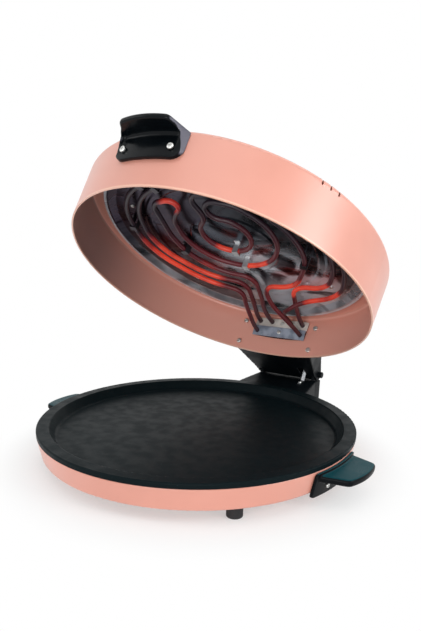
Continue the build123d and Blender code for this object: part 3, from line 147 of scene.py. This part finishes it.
# %% [markdown]
# The class Finish holds one material. Its node method makes any node from its type, its settings and
# what goes into its sockets, and the short methods after it are the patterns that come up again and
# again: a colour mix, a noise, a soft step, and a soft ball about a place. Each finish below then
# reads like a short recipe: which pattern, how strong, and where. The patterns read the object's own
# coordinates, so they stay on their piece when the lid moves.

# %% A finish, and the method that makes any node
class Finish:
    """A material whose varying parts are sums of patterns in the object's own coordinates."""

    def __init__(self, name, roughness=0.5, metallic=0.0, coat=0.0, gloss=0.5):
        self.material = bpy.data.materials.new(name)
        self.material.use_nodes = True
        self.tree = self.material.node_tree
        self.shader = self.tree.nodes["Principled BSDF"]
        self.set(Roughness=roughness, Metallic=metallic, Coat_Weight=coat, Specular_IOR_Level=gloss)
        self.place = self.node("TexCoord", output="Object")

    def feed(self, socket, value):
        """Give a socket a link, a colour or a number."""
        if isinstance(value, Line):
            self.tree.links.new(value.socket, socket)
        elif socket.type == "RGBA":
            socket.default_value = (*value, 1)
        else:
            socket.default_value = value

    def node(self, kind, settings=None, sockets=None, output=0):
        """Make a node of a kind, and hand back one of its outputs."""
        made = self.tree.nodes.new("ShaderNode" + kind)
        for name, value in (settings or {}).items():
            if name == "stops":
                ramp = made.color_ramp
                while len(ramp.elements) < len(value):
                    ramp.elements.new(0.5)
                for element, (at, colour) in zip(ramp.elements, value):
                    element.position, element.color = at, (*colour, 1)
            else:
                setattr(made, name, value)
        for name, value in (sockets or {}).items():
            self.feed(made.inputs[name], value)
        return Line(self, made.outputs[output])

    def set(self, **sockets):
        """Feed the shader's sockets, written with _ for each space in their names."""
        for name, value in sockets.items():
            self.feed(self.shader.inputs[name.replace("_", " ")], value)

    def mix(self, factor, first, second):
        return self.node("Mix", {"data_type": "RGBA"}, {0: factor, 6: first, 7: second}, output=2)

    def ramp(self, value, stops):
        return self.node("ValToRGB", {"stops": stops}, {0: value})

    def noise(self, scale, detail=2, place=None, **more):
        sockets = {"Vector": place or self.place, "Scale": scale, "Detail": detail, **more}
        return self.node("TexNoise", None, sockets)

    def stretched(self, scale, turned=(0, 0, 0)):
        """Coordinates for a pattern with a grain: a larger scale makes it finer that way."""
        return self.node("Mapping", None, {"Vector": self.place, "Rotation": turned, "Scale": scale})

    def band(self, value, start, stop, low=0.0, high=1.0):
        """A soft step from low to high, as a value goes from start to stop."""
        sockets = {"Value": value, "From Min": start, "From Max": stop, "To Min": low, "To Max": high}
        return self.node("MapRange", {"interpolation_type": "SMOOTHSTEP"}, sockets)

    def near(self, point, radius, softness):
        """1 within a radius of a point, falling softly to 0 outside it."""
        gap = self.node("VectorMath", {"operation": "DISTANCE"}, {0: self.place, 1: point}, output=1)
        return self.band(gap, radius + softness, radius)

    def bump(self, height, depth, strength=1.0):
        """Let a pattern of this depth in metres tilt the surface."""
        sockets = {"Height": height, "Distance": depth, "Strength": strength}
        self.feed(self.shader.inputs["Normal"], self.node("Bump", None, sockets))


# %% [markdown]
# A colour is easiest to judge as a screen shows it, in numbers from 0 to 255. The nodes count light
# instead, and a middle grey on the screen is only about a fifth of full light. The function shade
# turns one into the other. The function wear puts a finish on pieces of the measured model.

# %% Colours, and putting a finish on
def shade(*colour):
    """The light value of a colour written as three numbers from 0 to 255."""
    return tuple(((part / 255 + 0.055) / 1.055) ** 2.4 if part > 10 else part / 3295 for part in colour)


def wear(finish, names):
    """Put a finish on nodes of the measured model."""
    for name in names:
        node = NODES[name]
        if not node.material_slots:
            node.data.materials.append(finish.material)
        for place in node.material_slots:
            place.material = finish.material
    print(finish.material.name, "on", ", ".join(names))


print("a middle grey of 128 has the light values", [round(part, 3) for part in shade(128, 128, 128)])

# %% [markdown]
# The tub and the lid are deep-drawn steel under a baked rose paint. Real paint of this kind is never
# one flat colour: it is a little thinner in some places, and has a fine orange-peel that breaks up the
# highlights. A wide noise shifts the colour by a few per cent, and a fine one drives the bump.
# A thin coat over a satin base gives the soft, pale sheen along the edges. Inside the lid the paint is
# made a little lighter, as painted light, and darker towards the left, as painted shade. A painted
# highlight runs along the rolled hem. One mesh holds both sides of the sheet, so a mask has to tell
# them apart: the distance from the lid's axis, set against the middle of the wall, which leans
# outwards a little with height.

# %% Rose paint
wall_middle = 0.20258       # radius of the middle of the lid's sheet at the rim
wall_taper = 0.0234         # what each metre of height adds to it
sheet_part = 0.00015        # less than half the sheet's thickness
ceiling = 0.0665            # height of the middle of the lid's top above the rim
paint = Finish("rose_paint", coat=0.55)
paint.set(Coat_Roughness=0.34)
cloud = paint.band(paint.noise(9, 3), 0.35, 0.65)
fresh = paint.mix(cloud, shade(228, 159, 141), shade(221, 152, 134))
lid_centre = in_lid(0, 0, 0)
lid_axis = (in_lid(0, 0, 1000) - lid_centre).normalized()
arm = paint.node("VectorMath", {"operation": "SUBTRACT"}, {0: paint.place, 1: lid_centre})
height = paint.node("VectorMath", {"operation": "DOT_PRODUCT"}, {0: arm, 1: lid_axis}, output=1)
along = paint.node("VectorMath", {"operation": "SCALE"}, {0: lid_axis, "Scale": height})
reach = paint.node("VectorMath", {"operation": "DISTANCE"}, {0: arm, 1: along}, output=1)
within = paint.band(reach - wall_taper * height, wall_middle + sheet_part, wall_middle - sheet_part)
inside = within * paint.band(height, ceiling + 0.0005, ceiling - 0.0005) * paint.band(height, 0.0, 0.001)
# painted shade: the inside of the lid is made darker towards the left
painted_shade_left = paint.near(in_lid(-165, -90, 40), 0.06, 0.22) * paint.band(paint.noise(5, 4), 0.25, 0.7, 0.8, 1.0)
# the inner colour is lightened as painted light, and darkened on the left as painted shade
inner = paint.mix(painted_shade_left, shade(244, 176, 158), shade(150, 116, 110))
# a painted highlight along the rolled hem
hem_highlight = paint.band(height, 0.0024, 0.0012) * paint.band(height, -0.002, -0.001)
paint.set(Base_Color=paint.mix(hem_highlight * 0.7, paint.mix(inside, fresh, inner), shade(250, 200, 176)))
paint.set(Roughness=0.32 + 0.1 * paint.noise(900, 2))
paint.bump(paint.noise(700, 3), 0.0002, 0.25)
wear(paint, ["base_shell", "lid_shell"])

# %% [markdown]
# The baking pan is spun aluminium with a dark non-stick coating. It is almost black with a little
# blue-green, and has fine pale specks that the sprayed coating leaves. Small cells from a Voronoi
# pattern make the specks, and a second noise hides most of them, so that they lie unevenly.

# %% Dark pan coating
coating = Finish("dark_coating", gloss=0.05)
speck = coating.node("TexVoronoi", {"feature": "F1"}, {"Vector": coating.place, "Scale": 420})
flecks = coating.band(speck, 0.16, 0.1) * coating.band(coating.noise(160, 2), 0.52, 0.64)
coating.set(Base_Color=coating.mix(flecks, shade(14, 24, 27), shade(52, 70, 74)))
coating.set(Roughness=coating.band(coating.noise(60, 4), 0.3, 0.7, 0.34, 0.48))
coating.bump(coating.noise(1500, 2), 0.0001, 0.3)
wear(coating, ["baking_pan"])

# %% [markdown]
# Handles and hinge brackets are moulded in black phenolic plastic. It is glossy and near black, and
# handling leaves the gloss uneven, so a noise moves the roughness. Faces towards one side get a painted
# sheen: a painted blue-green reflection on the tops of the side handles, a faint one on the tops of the
# brackets, and a painted grey reflection on the right cheek of the lid handle. The way that a face
# points picks out those places. The lid turns about the line from left to right, so a face that points
# right goes on pointing right when the lid moves. The feet are dull rubber.

# %% Black plastic and rubber
def black_finish(name, gloss, smooth, rough, sheen_side, painted_sheen):
    """Black plastic between two roughnesses, with a painted sheen of another colour on the faces towards
    one side.
    """
    plastic = Finish(name, gloss=gloss)
    black = plastic.mix(plastic.noise(30, 3), shade(4, 7, 10), shade(8, 13, 17))
    facing = plastic.node("NewGeometry", output="Normal")
    toward = plastic.node("SeparateXYZ", None, {0: facing}, output=sheen_side)
    # painted reflection: the faces towards one side take another colour
    plastic.set(Base_Color=plastic.mix(plastic.band(toward, 0.7, 0.95), black, painted_sheen))
    plastic.set(Roughness=plastic.band(plastic.noise(45, 4), 0.3, 0.7, smooth, rough))
    plastic.bump(plastic.noise(1600, 2), 0.0001, 0.2)
    return plastic


# the last two arguments give the side and the colour of a painted sheen, standing in for reflected light
bracket_black = black_finish("bracket_black", 0.1, 0.42, 0.55, "Z", shade(8, 14, 18))
handle_black = black_finish("handle_black", 0.08, 0.26, 0.4, "Z", shade(14, 70, 78))
lid_black = black_finish("lid_handle_black", 0.12, 0.14, 0.26, "X", shade(104, 104, 116))
wear(bracket_black, ["base_hinge_bracket", "lid_hinge_bracket", "cable_gland", "hinge_pin_caps"])
wear(handle_black, ["right_side_handle", "left_side_handle"])
wear(lid_black, ["lid_handle"])
rubber = Finish("black_rubber", roughness=0.7)
rubber.set(Base_Color=rubber.mix(rubber.noise(60, 3), shade(14, 14, 17), shade(26, 26, 30)))
rubber.bump(rubber.noise(1200, 3), 0.0002, 0.4)
wear(rubber, ["feet"])

# %% [markdown]
# The small bright parts are steel strip and plated screws. Strip has a grain in one direction, which a
# noise stretched along one axis gives. The clips of the upper heaters are such strip too, but darker,
# and only those near the middle of the lid are bright. Plating has no grain, only a tarnish that dims
# its colour and its gloss a little.

# %% Steel strip and plating
steel = Finish("bright_steel", metallic=1.0)
brushed = steel.noise(300, 3, place=steel.stretched((1, 14, 14)))
steel.set(Base_Color=steel.mix(brushed, shade(186, 190, 196), shade(222, 225, 228)))
steel.set(Roughness=0.24 + 0.2 * brushed)
steel.bump(brushed, 0.00006, 0.4)
wear(steel, ["friction_leaf", "lower_element_clips", "hinge_pin"])
strip = Finish("heated_strip", metallic=0.9)
dim_colour = strip.mix(strip.noise(90, 3), shade(60, 58, 66), shade(98, 94, 98))
# the clips are darker, except near the middle of the lid
bright_middle = strip.near(in_lid(10, 12, 60), 0.034, 0.01)
strip.set(Base_Color=strip.mix(bright_middle, dim_colour, shade(222, 224, 226)))
strip.set(Roughness=0.3 + 0.2 * strip.noise(300, 3, place=strip.stretched((1, 14, 14))))
wear(strip, ["upper_element_clips"])
plated = Finish("plated_steel", metallic=1.0)
tarnish = plated.noise(120, 3)
plated.set(Base_Color=plated.mix(tarnish, shade(200, 200, 196), shade(228, 228, 226)))
plated.set(Roughness=0.2 + 0.25 * tarnish)
fasteners = [name for name in NODES if name.endswith(("screws", "screw", "studs", "nuts"))]
wear(plated, fasteners + ["base_bottom_plate", "thermostat", "reflector_bosses"])

# %% [markdown]
# The ends of the heaters come through two terminal plates. They differ: the upper one is dull and
# pale, and the lower one is bluer and darker. Both sit in the lid's shade, and both colours are
# lightened further as painted light. One recipe makes both, and takes the two colours and how
# metallic the plate is.

# %% Terminal plates
def plate_finish(name, dark, pale, metallic):
    """Stained sheet metal between two colours."""
    plate = Finish(name, metallic=metallic)
    stain = plate.noise(70, 4)
    plate.set(Base_Color=plate.mix(plate.band(stain, 0.35, 0.65), dark, pale))
    plate.set(Roughness=0.3 + 0.25 * stain)
    plate.bump(plate.noise(500, 2, place=plate.stretched((1, 9, 9))), 0.00005, 0.4)
    return plate


# both plates' colours are lightened as painted light, because they sit in the lid's shade
pale_plate = plate_finish("pale_plate", shade(206, 200, 194), shade(232, 227, 220), 0.1)
blue_plate = plate_finish("blue_plate", shade(128, 139, 156), shade(168, 178, 194), 0.35)
wear(pale_plate, ["terminal_plate_upper"])
wear(blue_plate, ["terminal_plate_lower"])

# %% [markdown]
# The reflector is a thin bright dish. After some use it is mottled: heat leaves it dark blue-grey, with
# a plainer disc in the middle, and it is darker and purple towards the front. Painted highlights lie on
# it: bright patches near the terminals, a pale band at the back of its rim, and a pale line all round
# its raised edge. Each of these is a soft mask about a place in the lid. The painted highlights are
# also less metallic, because a mirror would show the dark pan there. A wide bump bends the
# reflections, as thin sheet does.

# %% Reflector
disc_radius = 0.057         # the plainer disc in the middle
band_start = 0.164          # where the painted highlight band at the rim begins
edge_start = 0.1785         # where the raised edge, with its painted highlight, begins
sheet = Finish("reflector_sheet")
waves = sheet.noise(8, 3, place=sheet.stretched((1, 2.2, 2.2), (0.4, 0.2, 0.5)), Distortion=1.2)
mottle = sheet.noise(22, 4, Distortion=0.6)
dull = sheet.mix(sheet.band(waves, 0.35, 0.65), shade(44, 46, 54), shade(88, 94, 104))
# darker and purple towards the front
purple_front = sheet.near(in_lid(-95, -70, 64), 0.06, 0.08)
dull = sheet.mix(purple_front * 0.8, dull, shade(46, 32, 50))
disc = sheet.near(in_lid(0, 0, 64), disc_radius, 0.003)
dull = sheet.mix(disc * 0.6, dull, shade(66, 76, 88))
# painted highlights: bright patches near the terminals
painted_glints = sheet.near(in_lid(40, 95, 64), 0.06, 0.06) * sheet.band(mottle, 0.4, 0.54)
painted_glints = painted_glints.larger(sheet.near(in_lid(15, 150, 64), 0.03, 0.05) * sheet.band(waves, 0.35, 0.6))
at_back = sheet.near(in_lid(20, 150, 64), 0.19, 0.06)
# painted highlight: a pale band at the back of the rim
rim_highlight = (1 - sheet.near(in_lid(0, 0, 64), band_start, 0.003)) * at_back
# painted highlight: a pale line all round the raised edge
edge_highlight = 1 - sheet.near(in_lid(0, 0, 61), edge_start, 0.0015)
pale = painted_glints.larger(rim_highlight * sheet.band(mottle, 0.3, 0.7, 0.35, 0.8)).larger(edge_highlight)
# the painted highlights are paler and less metallic
sheet.set(Base_Color=sheet.mix(pale, dull, shade(206, 212, 220)), Metallic=0.92 - 0.6 * pale)
sheet.set(Roughness=sheet.band(waves, 0.3, 0.7, 0.2, 0.4))
sheet.bump(waves + 0.08 * mottle, 0.004, 0.7)
wear(sheet, ["lid_reflector", "lower_reflector"])

# %% [markdown]
# The tube heaters are dull grey steel that turns maroon and then orange-red as it heats. They don't
# glow evenly: only some stretches are at full heat, and the ends that run down to the plates are cold.
# So heat is one number, the largest of several soft masks, and a ramp turns it into a colour: maroon,
# then an orange-red that is painted glow in the tube's own colour. Only the hottest part gives real
# light, and very little, so that it doesn't tint the lid. Each hot place is a row of its place on the
# shut lid, its radius, the width of its soft edge, all in millimetres, and its heat.

# %% Heating elements
heater = Finish("element_tube", roughness=0.42)
hot_places = [
    (-128, -8, 52, 14, 26, 0.7),
    (-112, 24, 52, 26, 30, 1.0),
    (-82, 58, 52, 24, 34, 1.0),
    (-2, -6, 54, 12, 14, 1.0),
    (30, 26, 54, 16, 12, 1.0),
    (46, 84, 54, 22, 14, 1.0),
    (88, 84, 56, 24, 14, 0.95),
    (104, 102, 50, 30, 16, 0.95),
    (-40, -101, 54, 9, 12, 0.9),
]
heat = heater.near(in_lid(0, 60, 54), 0.07, 0.09) * 0.45
for x, y, rise, radius, softness, strength in hot_places:
    heat = heat.larger(heater.near(in_lid(x, y, rise), radius / 1000, softness / 1000) * strength)
warm = heat * heater.band(heater.noise(40, 3), 0.2, 0.6, 0.8, 1.0)
# the tube's colour: dark maroon-grey where cold, then maroon, then orange-red painted glow where hot
tube_and_painted_glow_colours = [
    (0.0, shade(38, 27, 38)),
    (0.42, shade(104, 34, 42)),
    (0.75, shade(168, 48, 42)),
    (1.0, shade(206, 70, 50)),
]
glow_colours = [
    (0.0, (0, 0, 0)),
    (0.45, (0, 0, 0)),
    (0.8, shade(110, 22, 18)),
    (1.0, shade(176, 48, 32)),
]
heater.set(Base_Color=heater.ramp(warm, tube_and_painted_glow_colours))
heater.set(Emission_Color=heater.ramp(warm, glow_colours), Emission_Strength=0.6)
heater.bump(heater.noise(900, 2), 0.0001, 0.3)
wear(heater, ["lower_element", "upper_element_outer", "upper_element_middle", "upper_element_inner"])

# %% [markdown]
# Ceramic beads insulate the ends of the heaters, and glass-fibre sleeves cover the wires. Both are pale
# and dull, with a faint mottle. They are mostly out of sight.

# %% Ceramic and wire
ceramic = Finish("pale_ceramic", roughness=0.5)
ceramic.set(Base_Color=ceramic.mix(ceramic.noise(200, 2), shade(222, 217, 204), shade(240, 236, 226)))
wear(ceramic, ["element_terminals", "terminal_block"])
sleeve = Finish("wire_sleeve", roughness=0.6)
sleeve.set(Base_Color=sleeve.mix(sleeve.noise(300, 2), shade(202, 196, 182), shade(224, 220, 208)))
sleeve.bump(sleeve.noise(1500, 2), 0.0002, 0.5)
wear(sleeve, ["base_wires", "lid_wires"])

# %% [markdown]
# Moulded plastic has no sharp edges: the mould's corners are rounded, and those small rounds catch the
# light as thin highlights. A bevel could give them, but the measured shapes have curved faces made of
# thin triangles, on which a bevel tears. So each moulding is copied, remade with an even skin of small
# squares, and smoothed a few times. Smoothing moves only the edges, because a flat face is already
# smooth. A lid moulding is laid flat first, so that its faces lie along the squares. The copy stays in
# its own place and takes the finish of the piece that it replaces.

# %% Mouldings with soft edges
def softened(node, body, square, rounds, place):
    """A copy of a moulding in an even skin of squares, with its edges rubbed soft."""
    mesh = NODES[node].data.copy()
    piece = bpy.data.objects.new("soft_" + node, mesh)
    bpy.context.scene.collection.objects.link(piece)
    shape = bmesh.new()
    shape.from_mesh(mesh)
    bmesh.ops.remove_doubles(shape, verts=shape.verts, dist=1e-6)
    bmesh.ops.transform(shape, matrix=place.inverted(), verts=shape.verts)
    shape.to_mesh(mesh)
    skin = piece.modifiers.new("skin", "REMESH")
    skin.mode = "VOXEL"
    skin.voxel_size = square
    even = bpy.data.meshes.new_from_object(piece.evaluated_get(bpy.context.evaluated_depsgraph_get()))
    piece.modifiers.clear()
    shape.clear()
    shape.from_mesh(even)
    for count in range(rounds):
        bmesh.ops.smooth_vert(
            shape, verts=shape.verts, factor=0.5, use_axis_x=True, use_axis_y=True, use_axis_z=True)
    bmesh.ops.transform(shape, matrix=place, verts=shape.verts)
    for face in shape.faces:
        face.smooth = True
    shape.to_mesh(even)
    shape.free()
    piece.data = even
    even.materials.clear()
    even.materials.append(NODES[node].material_slots[0].material)
    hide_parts(node)
    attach(piece, body)
    print(piece.name, "has", len(even.polygons), "squares")
    return piece


softened("right_side_handle", "base", 0.0007, 5, ON_BASE)
softened("left_side_handle", "base", 0.0007, 5, ON_BASE)
softened("base_hinge_bracket", "base", 0.001, 3, ON_BASE)
softened("lid_hinge_bracket", "lid", 0.001, 3, ON_LID)
softened("lid_handle", "lid", 0.0006, 5, ON_LID)

# %% [markdown]
# The object stands on a plain white sweep. One large floor is enough. Under the object it is partly
# lit like anything else, so that it takes a soft, pale contact shadow. Further out it fades to plain
# white for the camera and for reflections only. The fade uses the rays' kind, and adds no light to
# the object.

# %% Floor
floor_shape = bmesh.new()
bmesh.ops.create_grid(floor_shape, x_segments=1, y_segments=1, size=6)
floor_data = bpy.data.meshes.new("floor")
floor_shape.to_mesh(floor_data)
floor_shape.free()
floor = bpy.data.objects.new("floor", floor_data)
bpy.context.scene.collection.objects.link(floor)
ground = Finish("floor", roughness=0.9, gloss=0.2)
ground.set(Base_Color=ground.mix(ground.noise(3, 2), shade(247, 247, 247), shade(250, 250, 250)))
seen = ground.node("LightPath", output="Is Camera Ray")
mirrored = Line(ground, seen.socket.node.outputs["Is Glossy Ray"])
passed = Line(ground, seen.socket.node.outputs["Is Transmission Ray"])
shadow_kept = 0.6           # how much of the lit floor shows under the object
shadow_centre = (0, pan_axis_y + 0.01, 0)
far = 1 - shadow_kept * ground.near(shadow_centre, 0.18, 0.11)
white = ground.node("Emission", None, {"Color": (1, 1, 1), "Strength": 1.0})
fade = ground.node("MixShader", None, {0: seen.larger(mirrored).larger(passed) * far})
fade_node = fade.socket.node
ground.tree.links.new(ground.shader.outputs[0], fade_node.inputs[1])
ground.tree.links.new(white.socket, fade_node.inputs[2])
ground.tree.links.new(fade.socket, ground.tree.nodes["Material Output"].inputs["Surface"])
floor_data.materials.append(ground.material)
print("floor of", floor_data.polygons[0].area, "square metres")

# %% [markdown]
# The world gives an even, weak light from all round. The camera and the reflections see it at full
# white instead, so that the background is white and metal has something bright to mirror.

# %% World
room_light = 0.38
world = bpy.data.worlds.new("studio")
bpy.context.scene.world = world
world.use_nodes = True
links = world.node_tree.links
nodes = world.node_tree.nodes
soft = nodes["Background"]
soft.inputs["Color"].default_value = (1, 1, 1, 1)
soft.inputs["Strength"].default_value = room_light
bright = nodes.new("ShaderNodeBackground")
bright.inputs["Color"].default_value = (1, 1, 1, 1)
path = nodes.new("ShaderNodeLightPath")
chosen = path.outputs["Is Camera Ray"]
for kind in ("Is Glossy Ray", "Is Transmission Ray"):
    either = nodes.new("ShaderNodeMath")
    either.operation = "MAXIMUM"
    links.new(chosen, either.inputs[0])
    links.new(path.outputs[kind], either.inputs[1])
    chosen = either.outputs[0]
blend = nodes.new("ShaderNodeMixShader")
links.new(chosen, blend.inputs[0])
links.new(soft.outputs[0], blend.inputs[1])
links.new(bright.outputs[0], blend.inputs[2])
links.new(blend.outputs[0], nodes["World Output"].inputs["Surface"])
print("the room's light has a strength of", room_light)

# %% [markdown]
# Four large soft lamps do the rest. Two at the sides shape the drum, the right one three times as
# strong, because the lid's right side is the palest part. One above lights the pan. A low one in front
# reaches up into the lid, which would otherwise be a dark hole.

# %% Lamps
def lamp(name, place, aim, size, power):
    """A round soft lamp at a place, turned to face another."""
    data = bpy.data.lights.new(name, "AREA")
    data.shape, data.size, data.energy = "DISK", size, power
    made = bpy.data.objects.new(name, data)
    made.location = place
    made.rotation_mode = "QUATERNION"
    made.rotation_quaternion = (Vector(aim) - Vector(place)).to_track_quat("-Z", "Y")
    bpy.context.scene.collection.objects.link(made)
    print(name, "of", size, "m and", power, "W at", place)


lamp("left_lamp", (-1.6, -1.2, 1.2), (0, 0, 0.15), 1.2, 6)
lamp("right_lamp", (1.9, 0.1, 1.0), (0, 0, 0.2), 1.0, 18)
lamp("top_lamp", (0.2, -0.6, 2.2), (0, 0, 0.1), 1.6, 7)
lamp("front_lamp", (0.5, -1.9, 0.15), (0, 0.1, 0.3), 1.3, 22)
bpy.context.scene.view_settings.view_transform = "Standard"
